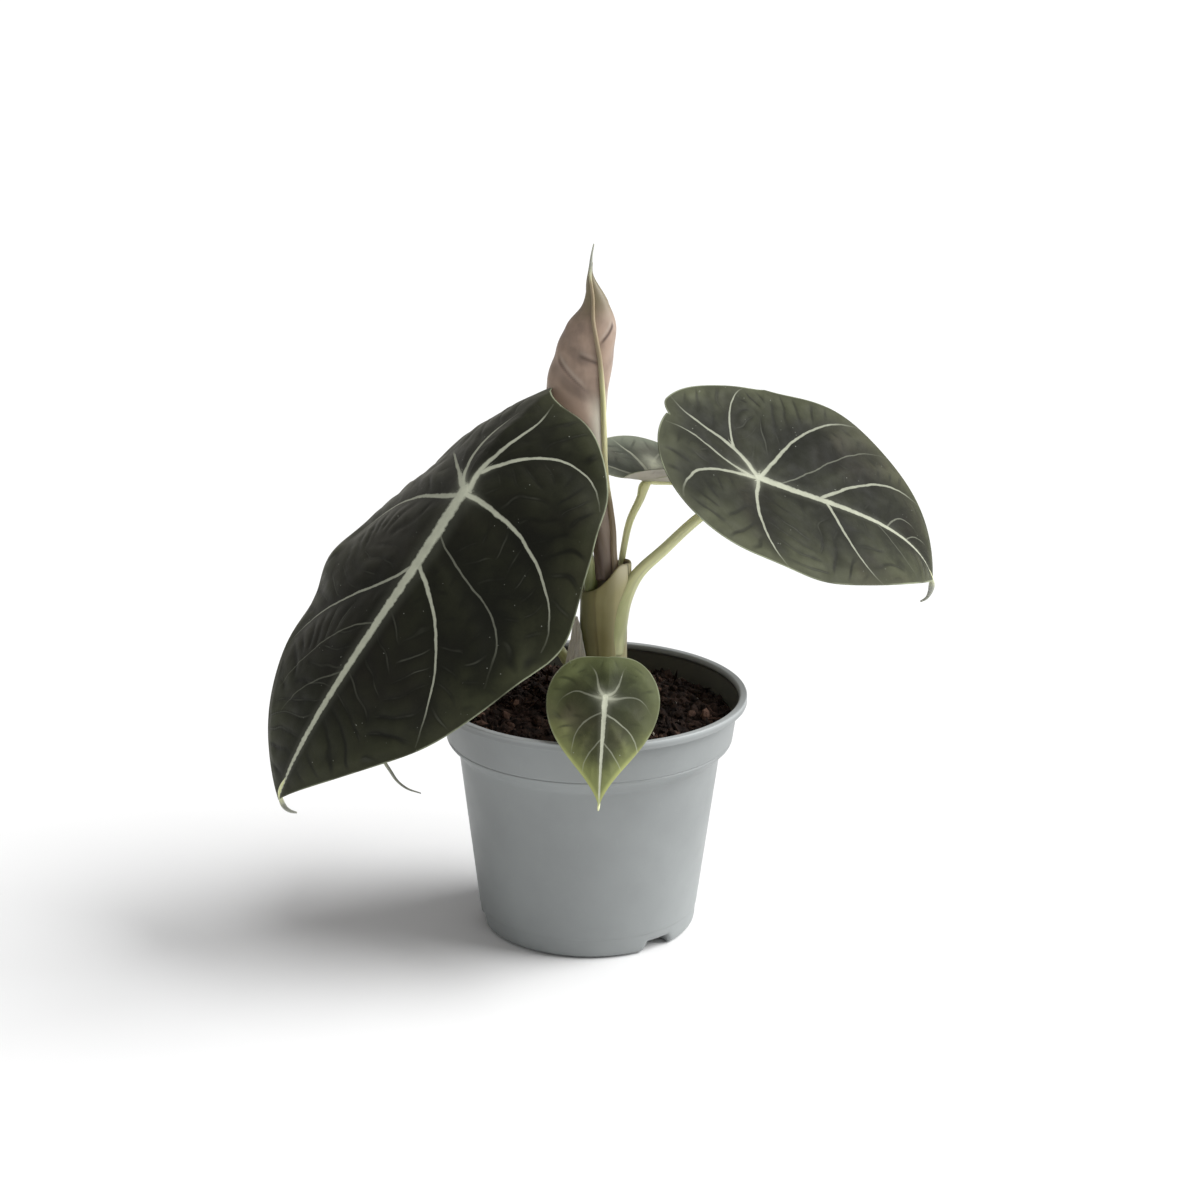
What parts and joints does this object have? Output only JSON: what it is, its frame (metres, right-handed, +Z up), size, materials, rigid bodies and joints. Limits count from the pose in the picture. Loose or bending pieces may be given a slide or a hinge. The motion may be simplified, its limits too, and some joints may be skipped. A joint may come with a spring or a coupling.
{
  "type": "alocasia black velvet house plant in a nursery pot",
  "caption": "Compact aroid house plant with dark velvety shield-shaped leaves and pale veins, rooted in soil in a plain tapered grower's pot.",
  "frame": {"origin": "centre of the pot's foot, on the surface that the pot stands on", "axes": "+Z up the pot's axis, +X towards the second-largest leaf, -Y towards the small leaf that hangs over the rim"},
  "size_m": [0.2539, 0.1379, 0.2611],
  "materials": {
    "velvet_blade": "dark velvety leaf, almost black green, with pale silvery veins and a thin pale margin",
    "sheeny_blade": "dark green leaf with a soft grey sheen and pale veins",
    "folded_blade": "half-folded young leaf, grey-mauve underside and dark velvety top",
    "young_blade": "olive green young leaf, yellower towards its tip",
    "rolled_blade": "mauve-brown underside of the rolled new leaf",
    "petiole": "pale yellow-green, smooth, faintly striped",
    "stem": "olive to pale green clasped petiole bases with brown edges",
    "papery_sheath": "dry papery sheath, pale pinkish tan",
    "soil": "dark crumbly potting soil with small light bits",
    "pot": "thin smooth grey plastic, satin"
  },
  "bodies": {
    "root": {"left_leaf_blade": "velvet_blade", "left_leaf_petiole": "petiole", "right_leaf_blade": "sheeny_blade", "right_leaf_petiole": "petiole", "back_leaf_blade": "folded_blade", "back_leaf_petiole": "petiole", "lower_leaf_blade": "velvet_blade", "lower_leaf_petiole": "petiole", "front_leaf_blade": "young_blade", "front_leaf_petiole": "petiole", "new_leaf_blade": "rolled_blade", "new_leaf_petiole": "petiole", "pseudostem": "stem", "basal_sheath": "papery_sheath", "soil": "soil", "pot": "pot"}
  },
  "joints": []
}
